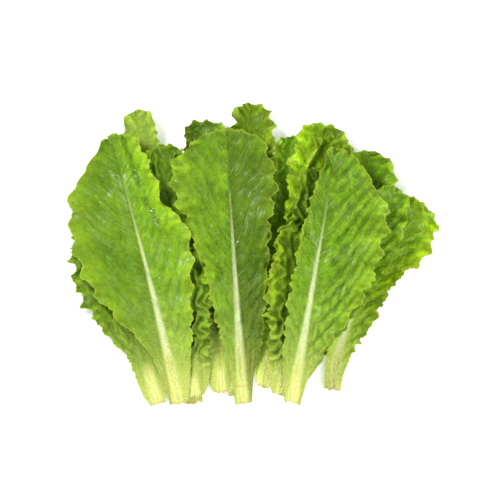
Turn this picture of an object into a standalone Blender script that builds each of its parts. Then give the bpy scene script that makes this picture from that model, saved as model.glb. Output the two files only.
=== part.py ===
"""A romaine lettuce head picked apart: its loose leaves lie fanned out on a table.

Each leaf is one closed solid, a thin waved blade on a thick tapering midrib. The leaves are laid
down one after another, and each is raised just enough to lie on those under it. The origin is on
the table, under the middle of the pile, with +Y from the cut ends to the tips and +Z up.
"""

import math
from collections import namedtuple

import bpy
import numpy as np
from mathutils import Vector
from mathutils.bvhtree import BVHTree

MM = 0.001

# Base, middle and tip are points of the midrib seen from above. Left and right are the blade's
# widest reach to each side of it, with the outline it follows there. Ruffle is half the height of
# the margin's waves, cup how far the margin stands above the midrib, and curl how far the tip
# lifts. All of these are in millimetres. Waves is the number of waves along a side, and phase
# where they start.
Leaf = namedtuple("Leaf", "name colour base middle tip left right ruffle cup curl waves phase")

# Bottom leaf first, as they are laid down.
LEAVES = (
    Leaf("leaf_back_middle_left", "dark",
         (-26, -118), (-35, -6), (-45, 116), (25, "low"), (31, "broad"), 3.0, 4, 2, 7, 0.10),
    Leaf("leaf_outer_left", "dark",
         (-81, -128), (-108, -42), (-136, 52), (38, "full"), (32, "even"), 3.5, 5, 1, 6, 0.55),
    Leaf("leaf_back_outer_right", "green",
         (35, -108), (74, -23), (101, 89), (27, "broad"), (28, "broad"), 3.5, 5, 3, 7, 0.30),
    Leaf("leaf_back_right", "dark",
         (11, -114), (23, -6), (35, 102), (22, "even"), (22, "low"), 3.0, 4, 2, 7, 0.80),
    Leaf("leaf_back_left", "pale",
         (-50, -127), (-74, -6), (-99, 124), (18, "even"), (16, "even"), 2.5, 6, 8, 7, 0.20),
    Leaf("leaf_back_middle", "bright",
         (-14, -121), (-6, 3), (-2, 130), (22, "even"), (22, "broad"), 3.0, 5, 5, 8, 0.65),
    Leaf("leaf_outer_right", "bright",
         (68, -116), (91, -38), (149, 42), (32, "late"), (29, "slow"), 4.5, 6, 4, 6, 0.05),
    Leaf("leaf_back_right_tall", "bright",
         (27, -117), (42, -6), (62, 112), (24, "broad"), (26, "broad"), 3.5, 7, 6, 7, 0.40),
    Leaf("leaf_middle_right", "green",
         (35, -110), (79, -31), (124, 55), (26, "even"), (24, "even"), 4.0, 5, 2, 6, 0.90),
    Leaf("leaf_inner_left", "green",
         (-50, -122), (-62, -31), (-78, 93), (24, "even"), (32, "low"), 4.0, 5, 2, 7, 0.35),
    Leaf("leaf_folded_right", "bright",
         (27, -121), (43, -31), (69, 100), (24, "even"), (22, "broad"), 4.0, 9, 3, 7, 0.75),
    Leaf("leaf_front_middle", "green",
         (-8, -128), (-15, -23), (-23, 107), (48, "late"), (40, "broad"), 3.0, 3, 2, 8, 0.15),
    Leaf("leaf_inner_right", "green",
         (26, -113), (42, -31), (56, 72), (26, "low"), (20, "even"), 4.5, 6, 3, 6, 0.60),
    Leaf("leaf_small_right", "bright",
         (24, -121), (34, -48), (32, 20), (20, "low"), (12, "even"), 4.5, 6, 4, 5, 0.25),
    Leaf("leaf_front_left", "green",
         (-64, -128), (-88, -23), (-122, 101), (55, "full"), (43, "low"), 4.0, 3, 2, 7, 0.45),
    Leaf("leaf_front_right", "green",
         (33, -127), (50, -31), (71, 89), (18, "straight"), (54, "square"), 5.0, 5, 2, 7, 0.00),
)

# Outlines of one side of a blade: at these shares of the length, how far its reach has grown
# from the cut end's (0) to the widest (1).
OUTLINE_AT = np.array([0, 0.12, 0.25, 0.40, 0.55, 0.70, 0.85, 1.00])
OUTLINES = {
    "even": (0, 0.08, 0.26, 0.56, 0.82, 1.00, 0.80, 0.42),
    "early": (0, 0.06, 0.22, 0.55, 0.86, 1.00, 0.95, 0.40),
    "late": (0, 0.06, 0.17, 0.33, 0.47, 0.78, 1.00, 0.64),
    "slow": (0, 0.08, 0.28, 0.58, 0.58, 0.66, 1.00, 0.55),
    "broad": (0, 0.10, 0.36, 0.52, 0.66, 0.81, 1.00, 0.75),
    "full": (0, 0.05, 0.19, 0.61, 0.93, 1.00, 0.70, 0.04),
    "straight": (0, 0.40, 0.77, 0.96, 0.96, 0.88, 0.50, 0.00),
    "square": (0, 0.06, 0.21, 0.55, 0.85, 0.95, 0.93, 0.32),
    "low": (0.05, 0.24, 0.44, 0.66, 0.92, 0.96, 0.56, 0.40),
}

BLADE = 1.0  # thickness of the blade, straight down
RIB_HALF_WIDTH = 5.8  # at the cut end
RIB_HALF_WIDTH_TIP = 0.7
RIB_TAPER = 1.8
RIB_DEPTH = 5.0  # how far the midrib stands out under the blade, at the cut end
RIB_DEPTH_TAPER = 1.4
RIB_FLAT = 0.6  # share of the midrib's width that is flat beneath
WING = 1.2  # blade beside the midrib at the cut end
TIP_ROUND = 0.4  # how far the tip's corners are drawn back, as a share of the tip's half-width
TIP_POWER = 8  # how close to the end the tip's rounding and its waves begin
EDGE_POWER = 2.2  # how close to the margin the waves stay
WAVE_START, WAVE_FULL = 0.10, 0.42  # shares of the length over which the waves grow
TIP_TURN = 0.12  # how far the waves run on round the tip, as a share of the length
SIDE_SHIFT = 0.23  # how far the two margins' waves are out of step, in waves
SCALLOP = 0.05  # how far the outline goes in and out, as a share of the width
SCALLOPS_PER_WAVE = 1.5

STATION = 10.7  # spacing of the rows of points along a leaf
BLADE_COLUMNS = (0.5, 1.0)  # points on each side, as shares of the way from the midrib to the margin
GAP = 1.0  # air between a leaf and what it lies on
SAG = 0.35  # how much a raised leaf drops between one point and the next
ALONG, ACROSS = 0.6, 0.4  # how stiff a leaf is along and across
STEEPEST = 0.6  # rise over run that lying on another leaf gives a blade at most
SETTLING_PASSES = 300
NUDGE = 0.3  # further lift wherever two leaves still touch
NUDGE_ROUNDS = 60

COLOURS = {
    "green": (0.205, 0.400, 0.032),
    "bright": (0.290, 0.470, 0.020),
    "pale": (0.370, 0.510, 0.110),
    "dark": (0.100, 0.235, 0.022),
}
ROUGHNESS = 0.42


def smooth_step(x, start, end):
    """0 before start, 1 after end, and an even curve between."""
    share = np.clip((x - start) / (end - start), 0, 1)
    return share * share * (3 - 2 * share)


def midrib(leaf, s):
    """Points of the midrib at the shares s of its length, and the directions forward and right."""
    base, middle, tip = (np.array(p, float) for p in (leaf.base, leaf.middle, leaf.tip))
    s = np.asarray(s, float)[..., None]
    points = base * (1 - s) * (1 - 2 * s) + middle * 4 * s * (1 - s) + tip * s * (2 * s - 1)
    forward = base * (4 * s - 3) + middle * (4 - 8 * s) + tip * (4 * s - 1)
    forward /= np.linalg.norm(forward, axis=-1, keepdims=True)
    right = np.stack([forward[..., 1], -forward[..., 0]], axis=-1)
    return points, forward, right


def midrib_length(leaf):
    points = midrib(leaf, np.linspace(0, 1, 50))[0]
    return float(np.linalg.norm(np.diff(points, axis=0), axis=1).sum())


def rib_half_width(s):
    return RIB_HALF_WIDTH_TIP + (RIB_HALF_WIDTH - RIB_HALF_WIDTH_TIP) * (1 - s) ** RIB_TAPER


def rib_depth(s):
    return RIB_DEPTH * (1 - s) ** RIB_DEPTH_TAPER


def outline_share(shape, s):
    """Smooth curve through the shares of an outline."""
    shares = np.array(OUTLINES[shape])
    slope = np.gradient(shares, OUTLINE_AT)
    i = np.clip(np.searchsorted(OUTLINE_AT, s) - 1, 0, len(OUTLINE_AT) - 2)
    span = OUTLINE_AT[i + 1] - OUTLINE_AT[i]
    t = (s - OUTLINE_AT[i]) / span
    ends = shares[i] * (1 + 2 * t) * (1 - t) ** 2 + shares[i + 1] * t * t * (3 - 2 * t)
    return ends + span * t * (1 - t) * (slope[i] * (1 - t) - slope[i + 1] * t)


def blade_half_width(leaf, s, side):
    """Reach of the blade from the midrib's middle line."""
    start = RIB_HALF_WIDTH + WING
    reach = [
        start + (widest - start) * outline_share(shape, s) for widest, shape in (leaf.left, leaf.right)
    ]
    turn = 2 * math.pi * (leaf.waves * SCALLOPS_PER_WAVE * s + leaf.phase + side * SIDE_SHIFT)
    scallop = 1 + SCALLOP * np.sin(turn) * smooth_step(s, WAVE_START, WAVE_FULL)
    return np.where(side < 0, reach[0], reach[1]) * scallop


def plan(leaf, s, side, share):
    """Place, seen from above, of the point that is share of the way from the midrib's edge to
    the margin. A share below 0 is inside the midrib, and -1 is its middle line."""
    points, forward, right = midrib(leaf, s)
    rib = rib_half_width(s)
    width = blade_half_width(leaf, s, side)
    reach = np.where(share < 0, rib * (1 + share), rib + (width - rib) * share)
    pull = TIP_ROUND * reach**2 / width * s**TIP_POWER
    return points + right * (side * reach)[..., None] - forward * pull[..., None]


def natural_height(leaf, s, side, share):
    """Height of the leaf's upper face, were it alone with its midrib on the table."""
    out = np.clip(share, 0, 1)
    grown = smooth_step(s, WAVE_START, WAVE_FULL)
    edge = 1 - (1 - out**EDGE_POWER) * (1 - s**TIP_POWER)
    along = s + TIP_TURN * (1 - out) * s**TIP_POWER
    phase = leaf.phase + side * SIDE_SHIFT * np.clip(2 * out, 0, 1)
    wave = 1 + np.sin(2 * math.pi * (leaf.waves * along + phase))
    return (
        BLADE
        + rib_depth(s)
        + leaf.cup * grown * out**1.5
        + leaf.curl * s**4
        + leaf.ruffle * grown * edge * wave
    )


def thickness(s, share):
    """Blade and midrib together, straight down."""
    return BLADE + rib_depth(s) * np.clip(-share / (1 - RIB_FLAT), 0, 1)


class LeafGrid:
    """The points of a leaf's upper face: rows of eight from margin to margin. Between rows each
    margin has one more point, so that its waves are finer than the rest."""

    def __init__(self, leaf):
        self.leaf = leaf
        self.rows = max(8, round(midrib_length(leaf) / STATION))
        shares = np.array([*reversed(BLADE_COLUMNS), 0, RIB_FLAT - 1, RIB_FLAT - 1, 0, *BLADE_COLUMNS])
        sides = np.repeat([-1, 1], len(shares) // 2)
        stations = np.linspace(0, 1, self.rows + 1)
        between = (stations[1:] + stations[:-1]) / 2
        self.columns = len(shares)
        # The rows' points come first, then the left margin's further points, then the right margin's.
        self.s = np.concatenate([np.repeat(stations, self.columns), between, between])
        margin_sides = np.repeat([-1, 1], self.rows)
        self.side = np.concatenate([np.tile(sides, self.rows + 1), margin_sides])
        self.share = np.concatenate([np.tile(shares, self.rows + 1), np.ones(2 * self.rows)])
        self.xy = plan(leaf, self.s, self.side, self.share)
        self.top = natural_height(leaf, self.s, self.side, self.share)
        self.depth = thickness(self.s, self.share)
        self.count = len(self.s)
        self.left_between = (self.rows + 1) * self.columns
        self.right_between = self.left_between + self.rows
        rows = self.xy[: self.left_between].reshape(self.rows + 1, self.columns, 2)
        self.drop_along = STEEPEST * np.linalg.norm(np.diff(rows, axis=0), axis=2)
        self.drop_across = STEEPEST * np.linalg.norm(np.diff(rows, axis=1), axis=2)
        self.sheet = self.sheet_triangles()
        self.faces = self.closed_triangles()

    def at(self, row, column):
        return row * self.columns + column

    def sheet_triangles(self):
        """Triangles of the upper face, anticlockwise from above."""
        faces = []
        last = self.columns - 1
        for i in range(self.rows):
            outer, inner = self.at(i, 0), self.at(i, 1)
            inner_next, outer_next = self.at(i + 1, 1), self.at(i + 1, 0)
            mid = self.left_between + i
            faces += [(outer, inner, mid), (mid, inner, inner_next), (mid, inner_next, outer_next)]
            for j in range(1, last - 1):
                a, b = self.at(i, j), self.at(i, j + 1)
                c, d = self.at(i + 1, j + 1), self.at(i + 1, j)
                faces += [(a, b, c), (a, c, d)] if j < last / 2 else [(a, b, d), (b, c, d)]
            inner, outer = self.at(i, last - 1), self.at(i, last)
            outer_next, inner_next = self.at(i + 1, last), self.at(i + 1, last - 1)
            mid = self.right_between + i
            faces += [(inner, outer, mid), (inner, mid, inner_next), (mid, outer_next, inner_next)]
        return faces

    def outline(self):
        """The upper face's outline, anticlockwise from above, starting at the cut end's left corner."""
        last = self.columns - 1
        loop = [self.at(0, j) for j in range(self.columns)]
        for i in range(self.rows):
            loop += [self.right_between + i, self.at(i + 1, last)]
        loop += [self.at(self.rows, j) for j in range(last - 1, -1, -1)]
        for i in range(self.rows - 1, 0, -1):
            loop += [self.left_between + i, self.at(i, 0)]
        return [*loop, self.left_between]

    def closed_triangles(self):
        """Upper face, under face split alike, and the strip that joins them round the outline."""
        under = [(a + self.count, c + self.count, b + self.count) for a, b, c in self.sheet]
        loop = self.outline()
        rim = []
        for a, b in zip(loop, loop[1:] + loop[:1]):
            rim += [(a + self.count, b + self.count, b), (a + self.count, b, a)]
        return self.sheet + under + rim

    def spread(self, lift):
        """The lift of the rows' points, carried to the further points of the margins."""
        between = (lift[1:] + lift[:-1]) / 2
        return np.concatenate([lift.ravel(), between[:, 0], between[:, -1]])

    def points(self, lift):
        """All points of the closed solid with the rows' points raised by lift."""
        top = self.top + self.spread(lift)
        upper = np.column_stack([self.xy, top])
        under = np.column_stack([self.xy, top - self.depth])
        return np.concatenate([upper, under])

    def ask(self, need, point, value):
        """Notes that this point has to be raised by value, which the rows' points near it share."""
        point %= self.count
        if point < self.left_between:
            cells = [divmod(point, self.columns)]
        else:
            row = (point - self.left_between) % self.rows
            column = 0 if point < self.right_between else self.columns - 1
            cells = [(row, column), (row + 1, column)]
        for cell in cells:
            need[cell] = max(need[cell], value)


def tree_of(points, faces):
    return BVHTree.FromPolygons([Vector(p) for p in points], faces)


def contact_need(grid, pile):
    """How far each point of the leaf's rows has to rise to clear the pile below it."""
    need = np.full((grid.rows + 1, grid.columns), 0.0)
    flat = np.zeros_like(need)
    points = grid.points(flat)
    under = [(a + grid.count, b + grid.count, c + grid.count) for a, b, c in grid.sheet]
    leaf_tree = tree_of(points, under)
    sky, down, up = 1000.0, Vector((0, 0, -1)), Vector((0, 0, 1))
    low, high = grid.xy.min(0), grid.xy.max(0)
    for pile_points, pile_tree, pile_count in pile:
        # Corners, middles of sides and middles of the leaf's own triangles, against the faces below.
        for triangle in under:
            corners = points[list(triangle)]
            a, b, c = corners
            for spot in (a, b, c, (a + b) / 2, (b + c) / 2, (c + a) / 2, corners.mean(0)):
                hit = pile_tree.ray_cast(Vector((spot[0], spot[1], sky)), down)[0]
                if hit is not None:
                    for corner in triangle:
                        grid.ask(need, corner, hit.z + GAP - spot[2])
        # Points of the leaves below, against this leaf's triangles.
        for point in pile_points[:pile_count]:
            if np.all(point[:2] > low) and np.all(point[:2] < high):
                hit, _, face, _ = leaf_tree.ray_cast(Vector((point[0], point[1], -sky)), up)
                if hit is not None:
                    for corner in under[face]:
                        grid.ask(need, corner, point[2] + GAP - hit.z)
    return need


def drape(grid, need):
    """The smallest lift that clears the need, sags evenly between and is nowhere too steep."""
    lift = need.copy()
    for _ in range(SETTLING_PASSES):
        around = np.pad(lift, 1, mode="edge")
        back, ahead = around[:-2, 1:-1], around[2:, 1:-1]
        left, right = around[1:-1, :-2], around[1:-1, 2:]
        level = ALONG * (back + ahead) / 2 + ACROSS * (left + right) / 2
        lift = np.maximum(need, level - SAG)
        lift[1:] = np.maximum(lift[1:], lift[:-1] - grid.drop_along)
        lift[:-1] = np.maximum(lift[:-1], lift[1:] - grid.drop_along)
        lift[:, 1:] = np.maximum(lift[:, 1:], lift[:, :-1] - grid.drop_across)
        lift[:, :-1] = np.maximum(lift[:, :-1], lift[:, 1:] - grid.drop_across)
    return lift


def settle(grid, pile):
    """Lays a leaf on the pile, raised a little more wherever it still touches a leaf below."""
    need = contact_need(grid, pile)
    for _ in range(NUDGE_ROUNDS):
        lift = drape(grid, need)
        points = grid.points(lift)
        tree = tree_of(points, grid.faces)
        touching = {face for _, pile_tree, _ in pile for face, _ in tree.overlap(pile_tree)}
        if not touching:
            break
        for face in touching:
            for corner in grid.faces[face]:
                row_lift = grid.spread(lift)[corner % grid.count]
                grid.ask(need, corner, row_lift + NUDGE)
    return points, tree


def leaf_material(name, colour):
    material = bpy.data.materials.new(name)
    material.use_nodes = True
    shader = material.node_tree.nodes["Principled BSDF"]
    shader.inputs["Base Color"].default_value = (*colour, 1)
    shader.inputs["Roughness"].default_value = ROUGHNESS
    shader.inputs["Metallic"].default_value = 0
    return material


def add_leaf(name, points, faces, material, parent):
    mesh = bpy.data.meshes.new(name)
    mesh.from_pydata([tuple(p) for p in points * MM], [], faces)
    mesh.materials.append(material)
    mesh.shade_smooth()
    mesh.set_sharp_from_angle(angle=math.radians(50))
    leaf_object = bpy.data.objects.new(name, mesh)
    leaf_object.parent = parent
    bpy.context.scene.collection.objects.link(leaf_object)


def main():
    for old in list(bpy.data.objects):
        bpy.data.objects.remove(old)
    grids = [LeafGrid(leaf) for leaf in LEAVES]
    everything = np.concatenate([grid.xy for grid in grids])
    middle = (everything.min(0) + everything.max(0)) / 2
    pile = []
    for grid in grids:
        points, tree = settle(grid, pile)
        pile.append((points, tree, grid.count))
    root = bpy.data.objects.new("pile_of_leaves", None)
    root.location = (-middle[0] * MM, -middle[1] * MM, 0)
    bpy.context.scene.collection.objects.link(root)
    materials = {name: leaf_material(f"leaf_{name}", colour) for name, colour in COLOURS.items()}
    for leaf, grid, (points, _, _) in zip(LEAVES, grids, pile):
        add_leaf(leaf.name, points, grid.faces, materials[leaf.colour], root)


main()
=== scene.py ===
import math
from collections import namedtuple

import bmesh
import bpy
import numpy as np
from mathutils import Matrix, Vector
from mathutils.bvhtree import BVHTree


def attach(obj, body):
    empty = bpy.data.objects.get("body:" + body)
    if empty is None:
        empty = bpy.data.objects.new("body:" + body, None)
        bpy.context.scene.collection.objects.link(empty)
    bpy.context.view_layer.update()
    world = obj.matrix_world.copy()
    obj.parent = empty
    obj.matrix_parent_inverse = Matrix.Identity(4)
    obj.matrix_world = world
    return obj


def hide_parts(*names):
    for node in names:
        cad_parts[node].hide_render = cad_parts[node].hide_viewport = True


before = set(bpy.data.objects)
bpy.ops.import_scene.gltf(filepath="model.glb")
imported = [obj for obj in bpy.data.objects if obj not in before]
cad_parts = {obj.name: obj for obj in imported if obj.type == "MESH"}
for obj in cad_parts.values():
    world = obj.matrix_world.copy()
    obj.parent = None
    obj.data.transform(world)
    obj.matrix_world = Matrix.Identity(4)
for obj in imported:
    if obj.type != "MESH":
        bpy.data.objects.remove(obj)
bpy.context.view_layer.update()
MM = 0.001

# The leaves. Each is one thin, waxy, ruffled blade grown on a thick pale midrib. It was cut from the head at
# its base and lies loose on those below it, as high as the frame says. Its shape is worked out from the
# solids' dimensions, much finer, with the lobes, frills, pleats and blisters that they leave out.
Leaf = namedtuple("Leaf", "name slot base middle tip left right ruffle cup curl waves phase")

# Bottom leaf first. Places and sizes are in millimetres.
LEAVES = (
    Leaf("leaf_back_middle_left", "leaf_dark",
         (-26, -118), (-35, -6), (-45, 116), (25, "low"), (31, "broad"), 3.0, 4, 2, 7, 0.10),
    Leaf("leaf_outer_left", "leaf_dark",
         (-81, -128), (-108, -42), (-136, 52), (38, "full"), (32, "even"), 3.5, 5, 1, 6, 0.55),
    Leaf("leaf_back_outer_right", "leaf_green",
         (35, -108), (74, -23), (101, 89), (27, "broad"), (28, "broad"), 3.5, 5, 3, 7, 0.30),
    Leaf("leaf_back_right", "leaf_dark",
         (11, -114), (23, -6), (35, 102), (22, "even"), (22, "low"), 3.0, 4, 2, 7, 0.80),
    Leaf("leaf_back_left", "leaf_pale",
         (-50, -127), (-74, -6), (-99, 124), (18, "even"), (16, "even"), 2.5, 6, 8, 7, 0.20),
    Leaf("leaf_back_middle", "leaf_bright",
         (-14, -121), (-6, 3), (-2, 130), (22, "even"), (22, "broad"), 3.0, 5, 5, 8, 0.65),
    Leaf("leaf_outer_right", "leaf_bright",
         (68, -116), (91, -38), (149, 42), (32, "late"), (29, "slow"), 4.5, 6, 4, 6, 0.05),
    Leaf("leaf_back_right_tall", "leaf_bright",
         (27, -117), (42, -6), (62, 112), (24, "broad"), (26, "broad"), 3.5, 7, 6, 7, 0.40),
    Leaf("leaf_middle_right", "leaf_green",
         (35, -110), (79, -31), (124, 55), (26, "even"), (24, "even"), 4.0, 5, 2, 6, 0.90),
    Leaf("leaf_inner_left", "leaf_green",
         (-50, -122), (-62, -31), (-78, 93), (24, "even"), (32, "low"), 4.0, 5, 2, 7, 0.35),
    Leaf("leaf_folded_right", "leaf_bright",
         (27, -121), (43, -31), (69, 100), (24, "even"), (22, "broad"), 4.0, 9, 3, 7, 0.75),
    Leaf("leaf_front_middle", "leaf_green",
         (-8, -128), (-15, -23), (-23, 107), (48, "late"), (40, "broad"), 3.0, 3, 2, 8, 0.15),
    Leaf("leaf_inner_right", "leaf_green",
         (26, -113), (42, -31), (56, 72), (26, "low"), (20, "even"), 4.5, 6, 3, 6, 0.60),
    Leaf("leaf_small_right", "leaf_bright",
         (24, -121), (34, -48), (32, 20), (20, "low"), (12, "even"), 4.5, 6, 4, 5, 0.25),
    Leaf("leaf_front_left", "leaf_green",
         (-64, -128), (-88, -23), (-122, 101), (55, "full"), (43, "low"), 4.0, 3, 2, 7, 0.45),
    Leaf("leaf_front_right", "leaf_green",
         (33, -127), (50, -31), (71, 89), (18, "straight"), (54, "square"), 5.0, 5, 2, 7, 0.00),
)

# What the leaves look like closer up. Frill is the height of the margin's short waves and spread how close
# to the margin they stay. Lobe is the depth of the margin's lobes, which end in points where it is
# negative. Blister is the height of the swellings between the veins, on the left and on the right. The pair
# after it is painted light and shade: a brightness painted into each side's colour, on the left and on the
# right, that stands in for how much light falls there. Pale is the share of the length over which the midrib
# stays pale. Crease is how far the blade is folded up along its right side near the tip. Each bulge tells a
# side, how much further than its solid the leaf reaches there, and the shares of the length where that is
# most and over which it fades. Pleat is the height of the folds that wind along a crowded leaf, and scar how
# far from the cut end the stalk has a brown crack across it.
Look = namedtuple(
    "Look", "frill spread lobe blister tone pale crease bulges pleat scar", defaults=(1, 0, (), 0, 0))
LEFT, RIGHT = -1, 1
LOOKS = {
    "leaf_back_middle_left": Look(3.2, 2, -3.4, (1.4, 1.4), (1.05, 1.25), 0.11),
    "leaf_outer_left": Look(1.5, 3, -4.6, (3.0, 3.0), (0.98, 0.90), 0.22),
    "leaf_back_outer_right": Look(2.4, 2, -2.8, (2.2, 2.2), (1.10, 1.10), 0.20),
    "leaf_back_right": Look(2.2, 2, -2.4, (1.2, 1.2), (1.90, 1.70), 0.16, pleat=2.5),
    "leaf_back_left": Look(1.5, 3, -1.8, (0.5, 0.5), (1.30, 1.25), 0.20, bulges=[(LEFT, 10, 0.88, 0.07)]),
    "leaf_back_middle": Look(2.8, 3, -2.8, (1.0, 1.0), (0.90, 0.90), 0.20),
    "leaf_outer_right": Look(2.0, 3, -3.0, (2.0, 2.0), (1.40, 1.50)),
    "leaf_back_right_tall": Look(3.0, 3, 2.0, (0.9, 0.9), (1.80, 1.30), 0.16),
    "leaf_middle_right": Look(2.4, 2, 2.6, (2.6, 2.6), (1.15, 1.20)),
    "leaf_inner_left": Look(3.0, 1.3, 2.6, (1.6, 1.6), (0.82, 0.90), 0.14, pleat=4.0),
    "leaf_folded_right": Look(2.2, 2, 2.2, (1.0, 1.0), (1.25, 0.90), 0.16, pleat=3.0),
    "leaf_front_middle": Look(
        1.1, 6, -2.4, (1.3, 1.6), (0.88, 0.57), bulges=[(LEFT, 8, 0.94, 0.05)], scar=19),
    "leaf_inner_right": Look(
        3.0, 1.3, 2.4, (1.4, 1.4), (0.85, 0.80), 0.14, bulges=[(LEFT, 4, 0.45, 0.25)], pleat=4.0),
    "leaf_small_right": Look(
        3.0, 1.3, 2.2, (1.2, 1.2), (0.95, 0.95), 0.14, bulges=[(LEFT, 5, 0.45, 0.30)], pleat=3.5),
    "leaf_front_left": Look(
        1.0, 6, 2.2, (1.0, 1.4), (0.80, 1.02), crease=3.0,
        bulges=[(LEFT, 9.5, 0.885, 0.10), (RIGHT, -10, 0.745, 0.06)]),
    "leaf_front_right": Look(1.4, 6, 2.6, (1.5, 3.8), (0.92, 0.92)),
}

# The solids' own values.
OUTLINE_AT = np.array([0, 0.12, 0.25, 0.40, 0.55, 0.70, 0.85, 1.00])
OUTLINES = {
    "even": (0, 0.08, 0.26, 0.56, 0.82, 1.00, 0.80, 0.42),
    "late": (0, 0.06, 0.17, 0.33, 0.47, 0.78, 1.00, 0.64),
    "slow": (0, 0.08, 0.28, 0.58, 0.58, 0.66, 1.00, 0.55),
    "broad": (0, 0.10, 0.36, 0.52, 0.66, 0.81, 1.00, 0.75),
    "full": (0, 0.05, 0.19, 0.61, 0.93, 1.00, 0.70, 0.04),
    "straight": (0, 0.40, 0.77, 0.96, 0.96, 0.88, 0.50, 0.00),
    "square": (0, 0.06, 0.21, 0.55, 0.85, 0.95, 0.93, 0.32),
    "low": (0.05, 0.24, 0.44, 0.66, 0.92, 0.96, 0.56, 0.40),
}
BLADE = 1.0
RIB_HALF_WIDTH = 5.8
RIB_HALF_WIDTH_TIP = 0.7
RIB_TAPER = 1.8
RIB_DEPTH = 5.0
RIB_DEPTH_TAPER = 1.4
RIB_FLAT = 0.6
WING = 1.2
TIP_ROUND = 0.4
TIP_POWER = 8
EDGE_POWER = 2.2
WAVE_START, WAVE_FULL = 0.10, 0.42
TIP_TURN = 0.12
SIDE_SHIFT = 0.23
SCALLOP = 0.05
SCALLOPS_PER_WAVE = 1.5
STATION = 10.7

# What only this script adds. Lengths are in millimetres.
FINE_STATION = 1.25  # spacing of the rows of points along a blade
FINE_COLUMN = 1.7  # and across it
FEWEST_COLUMNS = 12
PLEATED_FINER = 1.6  # how many times closer they are across a pleated leaf
LOBE_LENGTH = 11.0  # margin taken up by one lobe
TOOTH, TOOTH_LENGTH = 0.9, 3.6  # depth and length of the fine teeth on the lobes
FLARE = 2.8  # how far the covered leaves widen just above the cut end
RAGGED, RAGGED_LENGTH = 1.3, 7.0  # how far the cut end is torn in and out, and how far up that reaches
FRILL_LENGTH = 13.0  # margin taken up by one of the short waves
CURL, CURL_LENGTH = 1.1, 6.5  # height and length of the smallest curls of the margin
WAVES_KEPT = 0.75  # share of the solid's waves that stays beside the frills
FINE_TIP_POWER = 60  # waves and frills turn round the tip closer to its end than the solid's
VEIN_SPACING = 15.0  # of the side veins along the midrib
VEIN_RISE, VEIN_CURVE = 1.4, 0.005  # how steeply they leave it, and turn towards the tip on their way out
CELL_LENGTH = 7.0  # of a blister along a side vein
PLEAT_WIDTH, PLEAT_LENGTH = 8.0, 23.0  # width of a pleat, and how far up the leaf it winds to and fro
CREASE_START, CREASE_END = 0.62, 0.92  # shares of the length between which a blade is creased
CREASE_AT, CREASE_WIDTH = 0.42, 0.09  # where the crease is on the way to the margin, and how wide
WET_START, WET_AT, WET_WIDTH = 0.66, 0.45, 0.06  # where the row of drops starts, where it runs, and how wide
GROOVE = 1.5  # depth of the channel along the top of the stalk
RIM = 0.9  # width of the painted highlight along the thin rim
MARGIN_THICKNESS = 0.45
STALK_THICKER = 1.2  # how much thicker the blade is beside the stalk
CLEARANCE = 0.3  # air between a blade and what it lies on
TOUCH_PIXELS = 2  # how many pixels of the height map round a point count as below it
SPREAD_PASSES, SPREAD_LOSS = 60, 0.02  # how far a rise spreads to the points around, and its loss a pass
SCAR_WIDTH = 0.8
SHARP_EDGE = math.radians(80)
PAINTED_HOLLOW_SHADE = ((10, 0.7, 0.24), (60, 2.5, 0.12))  # width and depth of the hollows, how much painted shade darkens them, and how much painted light brightens the crests
PIXEL = 0.5  # of the height map that the leaves are laid down on
MAP_HALF = np.array([190, 160])


def smooth_step(x, start, end):
    """0 before start, 1 after end, and an even curve between."""
    share = np.clip((x - start) / (end - start), 0, 1)
    return share * share * (3 - 2 * share)


def noise(x, y, seed):
    """Smooth random values from -1 to 1 that change over one unit of x and y."""
    i, j = np.floor(x), np.floor(y)
    u, v = (t * t * (3 - 2 * t) for t in (x - i, y - j))

    def corner(di, dj):
        return np.sin((i + di) * 127.1 + (j + dj) * 311.7 + seed * 74.7) * 43758.5453 % 1 * 2 - 1

    near = corner(0, 0) * (1 - u) + corner(1, 0) * u
    far = corner(0, 1) * (1 - u) + corner(1, 1) * u
    return near * (1 - v) + far * v


def midrib(leaf, s):
    """Points of the midrib at the shares s of its length, and the directions forward and right there."""
    base, middle, tip = (np.array(p, float) for p in (leaf.base, leaf.middle, leaf.tip))
    s = np.asarray(s, float)[..., None]
    points = base * (1 - s) * (1 - 2 * s) + middle * 4 * s * (1 - s) + tip * s * (2 * s - 1)
    forward = base * (4 * s - 3) + middle * (4 - 8 * s) + tip * (4 * s - 1)
    forward /= np.linalg.norm(forward, axis=-1, keepdims=True)
    right = np.stack([forward[..., 1], -forward[..., 0]], axis=-1)
    return points, forward, right


def midrib_length(leaf):
    points = midrib(leaf, np.linspace(0, 1, 50))[0]
    return float(np.linalg.norm(np.diff(points, axis=0), axis=1).sum())


def rib_half_width(s):
    return RIB_HALF_WIDTH_TIP + (RIB_HALF_WIDTH - RIB_HALF_WIDTH_TIP) * (1 - s) ** RIB_TAPER


def rib_depth(s):
    return RIB_DEPTH * (1 - s) ** RIB_DEPTH_TAPER


def outline_share(shape, s):
    """Smooth curve through the shares of an outline."""
    shares = np.array(OUTLINES[shape])
    slope = np.gradient(shares, OUTLINE_AT)
    i = np.clip(np.searchsorted(OUTLINE_AT, s) - 1, 0, len(OUTLINE_AT) - 2)
    span = OUTLINE_AT[i + 1] - OUTLINE_AT[i]
    t = (s - OUTLINE_AT[i]) / span
    ends = shares[i] * (1 + 2 * t) * (1 - t) ** 2 + shares[i + 1] * t * t * (3 - 2 * t)
    return ends + span * t * (1 - t) * (slope[i] * (1 - t) - slope[i + 1] * t)


def blade_half_width(leaf, s, side):
    """Reach of the blade from the midrib's middle line."""
    start = RIB_HALF_WIDTH + WING
    reach = [start + (widest - start) * outline_share(shape, s) for widest, shape in (leaf.left, leaf.right)]
    turn = 2 * math.pi * (leaf.waves * SCALLOPS_PER_WAVE * s + leaf.phase + side * SIDE_SHIFT)
    scallop = 1 + SCALLOP * np.sin(turn) * smooth_step(s, WAVE_START, WAVE_FULL)
    return np.where(side < 0, reach[0], reach[1]) * scallop


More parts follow.
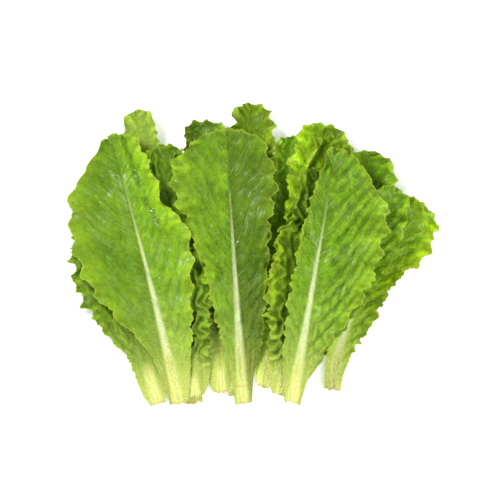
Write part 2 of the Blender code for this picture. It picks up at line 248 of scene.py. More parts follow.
def plan(leaf, s, side, share):
    """Place from above and reach of the points that are share of the way from the midrib's edge outwards."""
    points, forward, right = midrib(leaf, s)
    rib = rib_half_width(s)
    width = blade_half_width(leaf, s, side)
    reach = np.where(share < 0, rib * (1 + share), rib + (width - rib) * share)
    pull = TIP_ROUND * reach**2 / width * s**TIP_POWER
    return points + right * (side * reach)[..., None] - forward * pull[..., None], reach


def natural_height(leaf, s, side, share, waves=1.0, tip_power=TIP_POWER):
    """Height of the solid's upper face, were the leaf alone on the table, with this share of its waves."""
    out = np.clip(share, 0, 1)
    grown = smooth_step(s, WAVE_START, WAVE_FULL)
    edge = 1 - (1 - out**EDGE_POWER) * (1 - s**tip_power)
    along = s + TIP_TURN * (1 - out) * s**TIP_POWER
    phase = leaf.phase + side * SIDE_SHIFT * np.clip(2 * out, 0, 1)
    wave = 1 + np.sin(2 * math.pi * (leaf.waves * along + phase))
    return (
        BLADE
        + rib_depth(s)
        + leaf.cup * grown * out**1.5
        + leaf.curl * s**4
        + leaf.ruffle * waves * grown * edge * wave
    )


def solid_grid(leaf):
    """Shares of the solid's rows of points, their places from above, and those of more margin points."""
    rows = max(8, round(midrib_length(leaf) / STATION))
    stations = np.linspace(0, 1, rows + 1)
    shares = np.array([1, 0.5, 0, RIB_FLAT - 1, RIB_FLAT - 1, 0, 0.5, 1])
    s, share = np.meshgrid(stations, shares, indexing="ij")
    side = np.broadcast_to(np.repeat([-1, 1], 4), s.shape)
    between = np.tile((stations[1:] + stations[:-1]) / 2, 2)
    margins = plan(leaf, between, np.repeat([-1, 1], rows), np.ones(2 * rows))[0]
    return s, side, share, plan(leaf, s, side, share)[0], margins


outline = np.concatenate([part.reshape(-1, 2) for leaf in LEAVES for part in solid_grid(leaf)[3:]])
MIDDLE = (outline.min(0) + outline.max(0)) / 2


def settled_lift(leaf):
    """How far the frame's leaf was raised at each point of its own rows."""
    s, side, share = solid_grid(leaf)[:3]
    s, share = np.clip(s, 0.001, 0.999), np.clip(share, -1, 0.99)
    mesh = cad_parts[leaf.name].data
    points, faces = [v.co / MM for v in mesh.vertices], [tuple(p.vertices) for p in mesh.polygons]
    solid = BVHTree.FromPolygons(points, faces)
    places = (plan(leaf, s, side, share)[0] - MIDDLE).reshape(-1, 2)
    tops = [solid.ray_cast(Vector((*place, 200)), Vector((0, 0, -1)))[0].z for place in places]
    return s[:, 0], np.array(tops).reshape(s.shape) - natural_height(leaf, s, side, share)


def blurred(field, passes):
    for _ in range(passes):
        field = np.pad(field, 1, mode="edge")
        field = (field[:-2] + 2 * field[1:-1] + field[2:]) / 4
        field = (field[:, :-2] + 2 * field[:, 1:-1] + field[:, 2:]) / 4
    return field


def finer(field, along, across):
    """The field with along and across times as many points between its own."""
    rows, columns = field.shape
    i = np.linspace(0, rows - 1, (rows - 1) * along + 1)
    j = np.linspace(0, columns - 1, (columns - 1) * across + 1)
    i0, j0 = np.minimum(i.astype(int), rows - 2), np.minimum(j.astype(int), columns - 2)
    u, v = (i - i0)[:, None], j - j0
    field = field[i0] * (1 - u) + field[i0 + 1] * u
    return field[:, j0] * (1 - v) + field[:, j0 + 1] * v


def map_index(x, y):
    return tuple(np.rint((p + half) / PIXEL).astype(int) for p, half in zip((x, y), MAP_HALF))


Grid = namedtuple("Grid", "leaf look number s share side out along grown")


def fine_grid(leaf, look, number):
    """Shares of the rows of points, from margin to margin over the midrib, closer together at the margins."""
    length = midrib_length(leaf)
    finer_by = PLEATED_FINER if look.pleat else 1
    columns = max(FEWEST_COLUMNS, round(max(leaf.left[0], leaf.right[0]) / FINE_COLUMN * finer_by))
    blade = 1 - (1 - np.linspace(0, 1, columns + 1)[1:]) ** 1.5
    half = np.concatenate([[-0.7, -0.35, 0], blade])
    stations = np.linspace(0, 1, round(length / FINE_STATION) + 1)
    s, share = np.meshgrid(stations, np.concatenate([half[::-1], [-1], half]), indexing="ij")
    side = np.broadcast_to(np.concatenate([-np.ones(len(half)), np.ones(len(half) + 1)]), s.shape)
    out, grown = np.clip(share, 0, 1), smooth_step(s, 0.08, 0.32)
    return Grid(leaf, look, number, s, share, side, out, s * length, grown)


def vary(grid, step, seed):
    """Random values along each margin that change over step millimetres."""
    return noise(grid.along / step, grid.side * 5.0 + 9, grid.number + seed)


def vary_over(grid, reach, step, apart, seed):
    """Random values over the blade that change over step millimetres, with its halves this far apart."""
    return noise(grid.along / step, grid.side * (reach + apart) / step, grid.number + seed)


def lobed_plan(grid):
    """Places from above, with lobes and teeth along the margins and round the tip, and directions there."""
    leaf, look, s, side = grid.leaf, grid.look, grid.s, grid.side
    xy, reach = plan(leaf, s, side, grid.share)
    _, forward, right = midrib(leaf, s)

    def lobes(turn):
        return look.lobe * (np.abs(np.sin(math.pi * turn)) ** 0.6 - 0.6)

    def teeth(turn):
        return TOOTH * (np.abs(np.sin(math.pi * turn)) - 0.5)

    turn = grid.along / LOBE_LENGTH + leaf.phase * 7 + side * 0.3 + 1.8 * vary(grid, 47, 0)
    fine = teeth(grid.along / TOOTH_LENGTH + 1.5 * vary(grid, 13, 20)) * (1 + 0.8 * vary(grid, 11, 30))
    wide = grid.grown * (lobes(turn) * (0.7 + 1.1 * vary(grid, 19, 40)) + fine)
    wide = wide + FLARE * (look.pale < 1) * smooth_step(s, 0, 0.06) * smooth_step(s, 0.3, 0.12)
    wide = wide * grid.out**5
    for on, more, most_at, fade in look.bulges:
        wide = wide + (side == on) * more * np.exp(-(((s - most_at) / fade) ** 2)) * grid.out**2
    xy = xy + right * (side * wide * (1 - s**30))[..., None]
    across_tip = side * reach
    long = lobes(across_tip / LOBE_LENGTH + leaf.phase * 5) + teeth(across_tip / TOOTH_LENGTH)
    torn = RAGGED * noise(across_tip / 1.5, grid.along / 9, grid.number + 320)
    torn = torn * np.clip(1 - grid.along / RAGGED_LENGTH, 0, 1) ** 2
    return xy + forward * (long * s**40 + torn)[..., None] - MIDDLE, reach, forward, right


def blisters(grid, reach):
    """Height of the swellings between the side veins, and a coordinate that is whole on each vein."""
    vein = (grid.along - VEIN_RISE * reach - VEIN_CURVE * reach**2) / VEIN_SPACING + grid.side * 0.23
    vein = vein + 0.6 * vary_over(grid, reach, 30, 9, 80)
    cell = reach / CELL_LENGTH + 0.5 * np.floor(vein) + 0.8 * vary_over(grid, reach, 9, 7, 120)
    quilt = np.abs(np.sin(math.pi * vein)) ** 0.7 * (0.35 + 0.65 * np.abs(np.sin(math.pi * cell)) ** 0.6)
    height = np.where(grid.side < 0, *grid.look.blister) * (quilt + 0.25 * vary_over(grid, reach, 5, 30, 130))
    return height * smooth_step(reach, 2, 10) * (1 - grid.out**4) * grid.grown, vein


def pleats(grid, reach):
    """Height of the folds that wind to and fro along a crowded leaf, and a mask of their sharp ridges."""
    turn = reach / PLEAT_WIDTH + 0.35 * np.sin(2 * math.pi * grid.along / PLEAT_LENGTH + grid.side)
    turn = turn + 0.7 * vary(grid, 19, 400) + 0.5 * vary_over(grid, reach, 8, 11, 440)
    ridge = (1 - np.abs(np.sin(math.pi * turn))) * smooth_step(reach, 3, 7) * grid.grown
    return grid.look.pleat * ridge * (1 + 0.6 * vary(grid, 31, 480)), ridge * (grid.look.pleat > 0)


def frilled(grid, xy, reach, forward, right):
    """Places and height with the short waves, which lean over at the margin, and the smallest curls."""
    s, side, out, look = grid.s, grid.side, grid.out, grid.look
    edge = 1 - (1 - out**look.spread) * (1 - s**FINE_TIP_POWER)
    along = grid.along + TIP_TURN * grid.along.max() * (1 - out) * s**TIP_POWER
    crinkle = vary_over(grid, reach, 11, 20, 360)
    turn = along / FRILL_LENGTH + grid.leaf.phase * 3 + side * 0.4 * np.clip(2 * out, 0, 1)
    turn = 2 * math.pi * (turn + 0.45 * vary(grid, 27, 160) + 0.4 * crinkle)
    frill = look.frill * (1 + 0.7 * vary(grid, 29, 200)) * (1 + 0.4 * crinkle) * edge * grid.grown
    curl_turn = 2 * math.pi * (along / CURL_LENGTH + 0.4 * vary(grid, 17, 240))
    curl = CURL * look.frill / 3 * (1 + vary(grid, 15, 280)) * out**8 * grid.grown
    outward = 0.8 * curl * np.cos(curl_turn) * (1 - s**10) - 0.5 * frill * np.sin(turn + 0.9)
    back = 0.2 * frill * np.sin(2 * turn + 0.6) * (1 - s**10)
    xy = xy + right * (side * outward)[..., None] - forward * back[..., None]
    return xy, frill * (0.3 + np.sin(turn)) + curl * np.sin(curl_turn)


def crease_flap(grid):
    """How much of the right side is folded up."""
    return smooth_step(grid.s, CREASE_START, CREASE_START + 0.1) * (grid.side > 0)


def crease(grid):
    """Height of the blade beside a crease and in its groove."""
    groove = np.exp(-(((grid.share - CREASE_AT) / CREASE_WIDTH) ** 2))
    return grid.look.crease * crease_flap(grid) * (smooth_step(grid.share, CREASE_AT, 0.9) - 0.6 * groove)


def fine_lift(grid):
    """How far the frame's leaf was raised, at the finer points."""
    across = np.array([-2, -1.5, -1, -RIB_FLAT, RIB_FLAT, 1, 1.5, 2])
    coarse_stations, coarse_lift = settled_lift(grid.leaf)
    lift = np.array([np.interp(grid.s[:, 0], coarse_stations, column) for column in coarse_lift.T]).T
    lift = np.array([np.interp(grid.side[0] * (grid.share[0] + 1), across, row) for row in lift])
    return blurred(lift, 8)


def thickness(grid):
    """Thickness of the blade, thinner at the margin, and of the rib below it."""
    thin = BLADE - (BLADE - MARGIN_THICKNESS) * grid.out**2
    thin = thin + STALK_THICKER * (1 - grid.s) ** 4 * (1 - grid.out)
    return thin + rib_depth(grid.s) * np.sqrt(np.clip(1 - (grid.share + 1) ** 2, 0, 1)) * (grid.share < 0)


def rise_onto(pile, x, y, under):
    """How far a leaf has to rise to lie on the height map, smoothly between the points that touch."""
    ix, iy = map_index(x, y)
    around = range(-TOUCH_PIXELS, TOUCH_PIXELS + 1)
    below = np.max([pile[ix + i, iy + j] for i in around for j in around], axis=0)
    need = below + np.where(below > 0, CLEARANCE, 0) - under
    rise = np.maximum(need, 0)
    for _ in range(SPREAD_PASSES):
        rise = np.maximum(need, blurred(rise, 1) - SPREAD_LOSS)
    return np.maximum(rise, 0)


def painted_values(grid, x, y, top, reach, ridge):
    """Values for the material and the drops: painted light and shade, a painted highlight along the rim, wet,
    pale and scar, each from 0 to about 1.
    """
    look, s, share, side = grid.look, grid.s, grid.share, grid.side
    # The painted light and shade: each side's brightness from the look, with a painted highlight on the
    # upturned side of a crease.
    blend = smooth_step(side * (share + 1), -0.4, 0.4)
    tone = look.tone[0] * (1 - blend) + look.tone[1] * blend
    tone = tone + 0.2 * (look.crease > 0) * crease_flap(grid) * smooth_step(share, 0.45, 0.6)
    # Painted shade in the hollows and painted light on the crests around them.
    shade = [more * np.clip((top - blurred(top, wide)) / deep, -1, 1) for wide, deep, more in PAINTED_HOLLOW_SHADE]
    tone = tone * (1 + sum(shade))
    # A painted highlight along the thin rim of the margin, on the ridges of the pleats and at the tip.
    rim = np.exp(-(((blade_half_width(grid.leaf, s, side) - reach) / RIM) ** 2)) * grid.grown
    rim = np.maximum(np.maximum(rim, 0.75 * ridge**5), s**200)
    in_crease = np.exp(-(((share - WET_AT) / WET_WIDTH) ** 2)) * (side > 0) * (look.crease > 0)
    in_crease = in_crease * smooth_step(s, WET_START, WET_START + 0.04)
    in_crease = in_crease * smooth_step(s, CREASE_END, CREASE_END - 0.04)
    patch = smooth_step(noise(x / 14, y / 14, 5.0), 0.15, 0.6) * (1 - grid.out**4) * smooth_step(s, 0.15, 0.3)
    pale = np.broadcast_to(smooth_step(s, look.pale, 0.6 * look.pale) if look.pale < 1 else 1.0, s.shape)
    crack = np.exp(-(((grid.along - look.scar + noise(side * reach / 3, s, 7.0)) / SCAR_WIDTH) ** 2))
    scar = crack * smooth_step(reach, 9, 5) * (look.scar > 0)
    return {"tone": tone, "rim": rim, "wet": np.maximum(in_crease, 0.05 * patch), "pale": pale, "scar": scar}


def lay_down(leaf, look, number, pile):
    """Points of the leaf's upper and under face, with the coordinates and values that its material needs."""
    grid = fine_grid(leaf, look, number)
    s, share, side = grid.s, grid.share, grid.side
    xy, reach, forward, right = lobed_plan(grid)
    xy, frill = frilled(grid, xy, reach, forward, right)
    blister, vein = blisters(grid, reach)
    pleat, ridge = pleats(grid, reach)
    top = natural_height(leaf, s, side, share, WAVES_KEPT, FINE_TIP_POWER) + fine_lift(grid)
    top = top + frill + blister + crease(grid) + pleat
    thick = thickness(grid)
    x, y = xy[..., 0], xy[..., 1]
    rise = rise_onto(pile, x, y, top - thick)
    under = top + rise - thick
    top = top + rise - GROOVE * (1 - s) ** 2 * np.clip(-share, 0, 1) ** 2
    fine_x, fine_y, fine_top = (finer(field, 4, 4) for field in (x, y, top))
    np.maximum.at(pile, map_index(fine_x, fine_y), fine_top)
    body_uv = np.stack([(side * (share + 1) + 2) / 4, s], axis=-1)
    vein_uv = np.stack([vein + 40, reach / 10], axis=-1)
    return x, y, top, under, body_uv, vein_uv, painted_values(grid, x, y, top, reach, ridge)


def leaf_object(name, x, y, top, under, body_uv, vein_uv, values):
    """Closed mesh of a leaf, with its two UV maps, its values and the one that tells its under side."""
    rows, columns = x.shape
    count = rows * columns
    index = np.arange(count).reshape(rows, columns)
    upper = np.stack([index[:-1, :-1], index[:-1, 1:], index[1:, 1:], index[1:, :-1]], -1).reshape(-1, 4)
    loop = np.concatenate([index[0, :-1], index[:-1, -1], index[-1, :0:-1], index[:0:-1, 0]])
    ahead = np.roll(loop, -1)
    rim = np.stack([loop + count, ahead + count, ahead, loop], -1)
    faces = np.concatenate([upper, upper[:, ::-1] + count, rim])
    points = np.concatenate([np.stack([x, y, z], -1).reshape(-1, 3) for z in (top, under)]) * MM
    mesh = bpy.data.meshes.new(name)
    mesh.from_pydata(points.tolist(), [], faces.tolist())
    corners = faces.reshape(-1) % count
    for label, uv in (("body", body_uv), ("veins", vein_uv)):
        layer = mesh.uv_layers.new(name=label)
        layer.data.foreach_set("uv", uv.reshape(-1, 2)[corners].ravel())
    mesh.attributes.new("under", "FLOAT", "POINT").data.foreach_set("value", np.repeat([0.0, 1.0], count))
    for label, value in values.items():
        mesh.attributes.new(label, "FLOAT", "POINT").data.foreach_set("value", np.tile(value.ravel(), 2))
    mesh.shade_smooth()
    mesh.set_sharp_from_angle(angle=SHARP_EDGE)
    obj = bpy.data.objects.new(name, mesh)
    bpy.context.scene.collection.objects.link(obj)
    return obj


class Nodes:
    """A node tree that is written one line per node."""

    def __init__(self, tree):
        self.tree = tree

    def add(self, kind, inputs=(), **settings):
        node = self.tree.nodes.new(kind)
        for key, value in settings.items():
            setattr(node, key, value)
        for key, value in dict(inputs).items():
            if isinstance(value, bpy.types.NodeSocket):
                self.tree.links.new(value, node.inputs[key])
            else:
                node.inputs[key].default_value = value
        return node

    def math(self, operation, *values):
        return self.add("ShaderNodeMath", enumerate(values), operation=operation).outputs[0]

    def ramp(self, value, low, high, low_to=0.0, high_to=1.0):
        inputs = {"Value": value, "From Min": low, "From Max": high, "To Min": low_to, "To Max": high_to}
        return self.add("ShaderNodeMapRange", inputs, interpolation_type="SMOOTHSTEP").outputs[0]

    def mix(self, share, a, b):
        node = self.add("ShaderNodeMix", {0: share, 6: a, 7: b}, data_type="RGBA")
        return node.outputs[2]

    def noise(self, scale, detail=2.0, roughness=0.5):
        where = self.add("ShaderNodeTexCoord").outputs["Object"]
        inputs = {"Vector": where, "Scale": scale, "Detail": detail, "Roughness": roughness}
        return self.add("ShaderNodeTexNoise", inputs).outputs[0]


def leaf_pattern():
    """Shader node group with what all leaves share: masks of the midrib, side veins, margin and so on."""
    group = bpy.data.node_groups.new("Leaf Pattern", "ShaderNodeTree")
    for name in "Midrib Veins Margin Pale Wing Stalk Cut Mottle Relief Gloss Fibre".split():
        group.interface.new_socket(name, in_out="OUTPUT", socket_type="NodeSocketFloat")
    n = Nodes(group)
    body = n.add("ShaderNodeSeparateXYZ", {0: n.add("ShaderNodeUVMap", uv_map="body").outputs[0]})
    veins = n.add("ShaderNodeSeparateXYZ", {0: n.add("ShaderNodeUVMap", uv_map="veins").outputs[0]})
    s = body.outputs["Y"]
    out = n.math("ABSOLUTE", n.math("MULTIPLY_ADD", body.outputs["X"], 4.0, -2.0))
    phase, reach = veins.outputs["X"], veins.outputs["Y"]
    # The midrib is painted as wide as it is, and thins to nothing near the tip.
    rib_width = n.math("MULTIPLY_ADD", n.math("POWER", n.math("SUBTRACT", 1.0, s), 1.8), 0.51, 0.05)
    rib = n.math("MULTIPLY", n.ramp(n.math("DIVIDE", reach, rib_width), 1.45, 0.25), n.ramp(s, 0.95, 0.5))
    # A side vein is where the vein coordinate is whole. It thins on its way out, and some are stronger.
    off = n.math("ABSOLUTE", n.math("SUBTRACT", n.math("FRACT", n.math("ADD", phase, 0.5)), 0.5))
    thin = n.ramp(reach, 0.0, 3.5, 0.060, 0.018)
    vein = n.ramp(n.math("DIVIDE", off, thin), 1.5, 0.3)
    which = {"W": n.math("ROUND", phase)}
    strength = n.add("ShaderNodeTexWhiteNoise", which, noise_dimensions="1D").outputs[0]
    vein = n.math("MULTIPLY", vein, n.math("MULTIPLY_ADD", strength, 0.8, 0.2))
    vein = n.math("MULTIPLY", vein, n.ramp(reach, 4.0, 0.8))
    # Fine streaks and a net of small veins between them.
    along, outward = n.math("MULTIPLY", phase, 4.0), n.math("MULTIPLY", reach, 1.2)
    stretched = n.add("ShaderNodeCombineXYZ", {0: along, 1: outward}).outputs[0]
    streaks = n.add("ShaderNodeTexNoise", {"Vector": stretched, "Scale": 1.6, "Detail": 3.0}).outputs[0]
    net_input = {"Vector": n.add("ShaderNodeTexCoord").outputs["Object"], "Scale": 380.0}
    net = n.add("ShaderNodeTexVoronoi", net_input, feature="DISTANCE_TO_EDGE").outputs["Distance"]
    net = n.ramp(net, 0.16, 0.0)
    mottle = n.math("ADD", n.math("MULTIPLY", n.noise(38.0), 0.4), n.math("MULTIPLY", streaks, 0.25))
    mottle = n.math("MULTIPLY_ADD", n.noise(260.0, 4.0), 0.35, mottle)
    # Fibres run up the stalk.
    across, up = n.math("MULTIPLY", body.outputs["X"], 22.0), n.math("MULTIPLY", s, 9.0)
    stretched = n.add("ShaderNodeCombineXYZ", {0: across, 1: up}).outputs[0]
    fibre = n.add("ShaderNodeTexNoise", {"Vector": stretched, "Scale": 1.0, "Detail": 3.0}).outputs[0]
    # Patches of wax, which are glossier, and which the material paints a little paler as a painted sheen.
    wax = n.math("MULTIPLY_ADD", n.noise(70.0, 3.0), 0.5, n.math("MULTIPLY", streaks, 0.5))
    relief = n.math("MULTIPLY_ADD", streaks, 0.8, n.math("MULTIPLY", n.noise(330.0, 3.0), 2.6))
    relief = n.math("SUBTRACT", relief, n.math("MULTIPLY", net, 0.4))
    relief = n.math("SUBTRACT", relief, n.math("MULTIPLY", vein, 0.3))
    results = {
        "Midrib": rib,
        "Veins": n.math("MAXIMUM", vein, n.math("MULTIPLY", net, 0.2)),
        "Margin": n.ramp(out, 1.5, 2.0),
        "Pale": n.math("MULTIPLY", n.ramp(s, 0.62, 0.06), n.ramp(reach, 4.0, 0.3)),
        "Wing": n.ramp(s, 0.24, 0.02),
        "Stalk": n.ramp(s, 0.36, 0.06),
        "Cut": n.math("MULTIPLY", n.ramp(s, 0.016, 0.0), n.ramp(n.noise(250.0), 0.35, 0.6, 0.3, 1.0)),
        "Mottle": n.ramp(mottle, 0.36, 0.64),
        "Relief": relief,
        "Fibre": n.math("MULTIPLY", n.ramp(fibre, 0.46, 0.62), n.ramp(s, 0.34, 0.10)),
        "Gloss": n.ramp(wax, 0.49, 0.63),
    }
    n.add("NodeGroupOutput", results)
    return group


PATTERN = leaf_pattern()
VEIN_COLOUR = (0.46, 0.62, 0.12, 1)
RIB_COLOUR = (0.74, 0.84, 0.40, 1)
STALK_COLOUR = (0.84, 0.90, 0.30, 1)
PALE_COLOUR = (0.40, 0.56, 0.085, 1)
WING_COLOUR = (0.60, 0.70, 0.16, 1)
RIM_HIGHLIGHT_COLOUR = (0.46, 0.64, 0.05, 1)
FIBRE_COLOUR = (0.62, 0.62, 0.10, 1)
CUT_COLOUR = (0.56, 0.36, 0.12, 1)
UNDER_COLOUR = (0.36, 0.50, 0.12, 1)
SHEEN_PAINT_COLOUR = (0.38, 0.60, 0.14, 1)


def leaf_material(name, deep, fresh, margin):
    """Waxy leaf tissue: mottled between two greens, yellower at the margin, pale along the midrib and veins.

    The margin's yellow is partly the leaf's own colour and partly painted light shining through the thin
    edge.
    The wax lies in patches, glossier and with a paler painted sheen. The brightness is scaled by painted
    light and shade, and a painted highlight runs along the rim. The stalk has yellow fibres, and its cut end
    and any crack across it are brown.
    """
    material = bpy.data.materials.new(name)
    material.use_nodes = True
    n = Nodes(material.node_tree)
    shader = material.node_tree.nodes["Principled BSDF"]
    pattern = n.add("ShaderNodeGroup", node_tree=PATTERN).outputs
    under = n.add("ShaderNodeAttribute", attribute_name="under").outputs["Fac"]
    tone = n.add("ShaderNodeAttribute", attribute_name="tone").outputs["Fac"]
    colour = n.mix(pattern["Mottle"], (*deep, 1), (*fresh, 1))
    # Yellower towards the margin: partly the leaf's own colour and partly painted light shining through the
    # thin edge.
    colour = n.mix(n.math("MULTIPLY", pattern["Margin"], 0.7), colour, (*margin, 1))
    # Painted sheen: the glossy wax patches are painted paler and bluer.
    colour = n.mix(n.math("MULTIPLY", pattern["Gloss"], 0.18), colour, SHEEN_PAINT_COLOUR)
    colour = n.mix(n.math("MULTIPLY", pattern["Pale"], 0.75), colour, PALE_COLOUR)
    colour = n.mix(n.math("MULTIPLY", pattern["Wing"], 0.85), colour, WING_COLOUR)
    colour = n.mix(n.math("MULTIPLY", under, 0.5), colour, UNDER_COLOUR)
    # The painted light and shade scales the brightness.
    colour = n.add("ShaderNodeHueSaturation", {"Color": colour, "Value": tone}).outputs[0]
    colour = n.mix(n.math("MULTIPLY", pattern["Veins"], 0.38), colour, VEIN_COLOUR)
    # A painted highlight along the rim.
    rim = n.add("ShaderNodeAttribute", attribute_name="rim").outputs["Fac"]
    colour = n.mix(n.math("MULTIPLY", rim, 0.7), colour, RIM_HIGHLIGHT_COLOUR)
    pale = n.add("ShaderNodeAttribute", attribute_name="pale").outputs["Fac"]
    rib = n.math("MULTIPLY", pattern["Midrib"], pale)
    colour = n.mix(rib, colour, n.mix(pattern["Stalk"], RIB_COLOUR, STALK_COLOUR))
    colour = n.mix(n.math("MULTIPLY", pattern["Fibre"], 0.7), colour, FIBRE_COLOUR)
    scar = n.add("ShaderNodeAttribute", attribute_name="scar").outputs["Fac"]
    brown = n.math("MULTIPLY", n.math("MAXIMUM", pattern["Cut"], scar), 0.6)
    colour = n.mix(brown, colour, CUT_COLOUR)
    material.node_tree.links.new(colour, shader.inputs["Base Color"])
    rough = n.ramp(pattern["Mottle"], 0.0, 1.0, 0.30, 0.46)
    material.node_tree.links.new(rough, shader.inputs["Roughness"])
    bump = n.add("ShaderNodeBump", {"Strength": 0.9, "Distance": 0.0009, "Height": pattern["Relief"]})
    material.node_tree.links.new(bump.outputs[0], shader.inputs["Normal"])
    material.node_tree.links.new(n.math("MULTIPLY", pattern["Gloss"], 0.4), shader.inputs["Coat Weight"])
    shader.inputs["Coat Roughness"].default_value = 0.26
    shader.inputs["Specular IOR Level"].default_value = 0.15
    return material


LEAF_COLOURS = {  # deep, fresh and margin
    "leaf_green": ((0.115, 0.268, 0.002), (0.210, 0.410, 0.007), (0.300, 0.500, 0.014)),
    "leaf_bright": ((0.140, 0.280, 0.002), (0.245, 0.410, 0.006), (0.350, 0.500, 0.010)),
    "leaf_pale": ((0.260, 0.400, 0.035), (0.340, 0.490, 0.065), (0.350, 0.500, 0.045)),
    "leaf_dark": ((0.085, 0.190, 0.003), (0.160, 0.300, 0.008), (0.240, 0.400, 0.014)),
}
tissues = {slot: leaf_material(slot, *colours) for slot, colours in LEAF_COLOURS.items()}

pile = np.zeros(2 * (MAP_HALF / PIXEL).astype(int) + 1)
fronts = []
for number, leaf in enumerate(LEAVES):
    laid = lay_down(leaf, LOOKS[leaf.name], number, pile)
    made = leaf_object(leaf.name.replace("leaf_", "romaine_leaf_"), *laid)
    made.data.materials.append(tissues[leaf.slot])
    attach(made, "root")
    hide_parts(leaf.name)
    if "front" in leaf.name:
        fronts.append(made)

# Water drops on the three front leaves, most of them in the crease of the left one. Each is a flat clear
# dome of water that clings to the wax, and all are placed at random on the leaves' upper faces.
DROP_SIZES = (0.5, 1.4)  # half-widths in millimetres
DROP_SPACING = 1.6  # least distance between two, in millimetres
DROPS_PER_SQUARE_METRE = 90000.0  # where a leaf is fully wet
DROP_FLATNESS = 0.5  # height of a drop as a share of its half-width
wet = bmesh.new()
for obj in fronts:
    wet.from_mesh(obj.data)
under = wet.verts.layers.float["under"]
bmesh.ops.delete(wet, geom=[v for v in wet.verts if v[under] > 0.5], context="VERTS")
wet_mesh = bpy.data.meshes.new("wet_faces")
wet.to_mesh(wet_mesh)
wet.free()

dome_mesh = bpy.data.meshes.new("drop_dome")
dome = bmesh.new()
bmesh.ops.create_icosphere(dome, subdivisions=2, radius=MM)
for v in dome.verts:
    v.co.z *= DROP_FLATNESS
dome.to_mesh(dome_mesh)
dome.free()
dome_object = bpy.data.objects.new("drop_dome", dome_mesh)

water = bpy.data.materials.new("water")
water.use_nodes = True
water_shader = water.node_tree.nodes["Principled BSDF"]
water_shader.inputs["Base Color"].default_value = (0.50, 0.72, 0.28, 1)
water_shader.inputs["Roughness"].default_value = 0.04
water_shader.inputs["IOR"].default_value = 1.33
water_shader.inputs["Specular IOR Level"].default_value = 1.0
water_shader.inputs["Coat Weight"].default_value = 1.0
water_shader.inputs["Alpha"].default_value = 0.5

sprinkle = bpy.data.node_groups.new("Sprinkle Drops", "GeometryNodeTree")
DROP_INPUTS = {
    "Geometry": "NodeSocketGeometry", "Spacing": "NodeSocketFloat", "Density": "NodeSocketFloat",
    "Smallest": "NodeSocketFloat", "Largest": "NodeSocketFloat", "Seed": "NodeSocketInt",
}
for label, kind in DROP_INPUTS.items():
    sprinkle.interface.new_socket(label, in_out="INPUT", socket_type=kind)
sprinkle.interface.new_socket("Geometry", in_out="OUTPUT", socket_type="NodeSocketGeometry")
g = Nodes(sprinkle)
given = g.add("NodeGroupInput").outputs
share = g.add("GeometryNodeInputNamedAttribute", {"Name": "wet"}, data_type="FLOAT").outputs[0]
scatter_inputs = {
    "Mesh": given["Geometry"], "Distance Min": given["Spacing"], "Density Max": given["Density"],
    "Density Factor": share, "Seed": given["Seed"],
}
scatter = g.add("GeometryNodeDistributePointsOnFaces", scatter_inputs, distribute_method="POISSON").outputs
size_inputs = {2: given["Smallest"], 3: given["Largest"], "Seed": given["Seed"]}
size = g.add("FunctionNodeRandomValue", size_inputs).outputs[1]
shape = g.add("GeometryNodeObjectInfo", {"Object": dome_object}).outputs["Geometry"]
placed_inputs = {
    "Points": scatter["Points"], "Instance": shape, "Rotation": scatter["Rotation"], "Scale": size,
}
placed = g.add("GeometryNodeInstanceOnPoints", placed_inputs).outputs[0]
real = g.add("GeometryNodeRealizeInstances", {0: placed}).outputs[0]
clear = g.add("GeometryNodeSetMaterial", {"Geometry": real, "Material": water}).outputs[0]
g.add("NodeGroupOutput", {0: clear})

drops = bpy.data.objects.new("water_drops", wet_mesh)
bpy.context.scene.collection.objects.link(drops)
modifier = drops.modifiers.new("drops", "NODES")
modifier.node_group = sprinkle
sockets = {item.name: item.identifier for item in sprinkle.interface.items_tree if item.in_out == "INPUT"}
settings = {
    "Spacing": DROP_SPACING * MM, "Density": DROPS_PER_SQUARE_METRE,
    "Smallest": DROP_SIZES[0], "Largest": DROP_SIZES[1], "Seed": 4,
}
for label, value in settings.items():
    modifier[sockets[label]] = value
bpy.context.view_layer.update()
evaluated = drops.evaluated_get(bpy.context.evaluated_depsgraph_get())
drops_mesh = bpy.data.meshes.new_from_object(evaluated)
drops.modifiers.clear()
drops.data = drops_mesh
drops_mesh.shade_smooth()
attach(drops, "root")

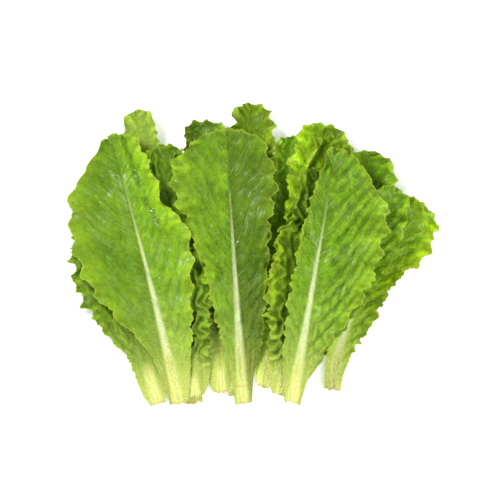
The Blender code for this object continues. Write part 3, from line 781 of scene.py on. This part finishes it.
# The floor, light and camera. The floor is plain and nearly white. A broad soft light hangs to the upper
# left, as in the photograph, and the camera looks almost straight down.
floor_mesh = bpy.data.meshes.new("floor")
floor_mesh.from_pydata([(-3, -3, 0), (3, -3, 0), (3, 3, 0), (-3, 3, 0)], [], [(0, 1, 2, 3)])
floor = bpy.data.objects.new("floor", floor_mesh)
bpy.context.scene.collection.objects.link(floor)
floor.location.z = -0.5 * MM  # just clear of the lowest leaves' flat undersides
floor_material = bpy.data.materials.new("floor_white")
floor_material.use_nodes = True
floor_shader = floor_material.node_tree.nodes["Principled BSDF"]
floor_shader.inputs["Base Color"].default_value = (0.92, 0.92, 0.92, 1)
floor_shader.inputs["Roughness"].default_value = 0.9
floor_shader.inputs["Emission Color"].default_value = (1, 1, 1, 1)
floor_shader.inputs["Emission Strength"].default_value = 0.35
floor_mesh.materials.append(floor_material)

world = bpy.data.worlds.new("studio")
bpy.context.scene.world = world
world.use_nodes = True
world.node_tree.nodes["Background"].inputs["Color"].default_value = (1, 1, 1, 1)
world.node_tree.nodes["Background"].inputs["Strength"].default_value = 0.46


def area_light(name, place, size, power):
    light = bpy.data.lights.new(name, "AREA")
    light.shape = "DISK"
    light.size = size
    light.energy = power
    obj = bpy.data.objects.new(name, light)
    obj.location = place
    obj.rotation_euler = (-Vector(place)).to_track_quat("-Z", "Y").to_euler()
    bpy.context.scene.collection.objects.link(obj)


area_light("key", (-0.75, 0.55, 1.25), 0.5, 17)
area_light("fill", (0.7, -0.7, 1.1), 1.2, 13)

FRAME_WIDTH = 0.425  # what the photograph's width covers at the leaves
DISTANCE = 2.5
ELEVATION = math.radians(87)
AIM = Vector((-2.5 - MIDDLE[0], 2.5 - MIDDLE[1], 30)) * MM  # what lies in the middle of the picture
camera = bpy.data.cameras.new("camera")
camera.sensor_width = 36
camera.lens = camera.sensor_width * DISTANCE / FRAME_WIDTH
camera_object = bpy.data.objects.new("camera", camera)
camera_object.location = AIM + DISTANCE * Vector((0, -math.cos(ELEVATION), math.sin(ELEVATION)))
camera_object.rotation_euler = (math.pi / 2 - ELEVATION, 0, 0)
bpy.context.scene.collection.objects.link(camera_object)
bpy.context.scene.camera = camera_object
bpy.context.scene.view_settings.view_transform = "Standard"
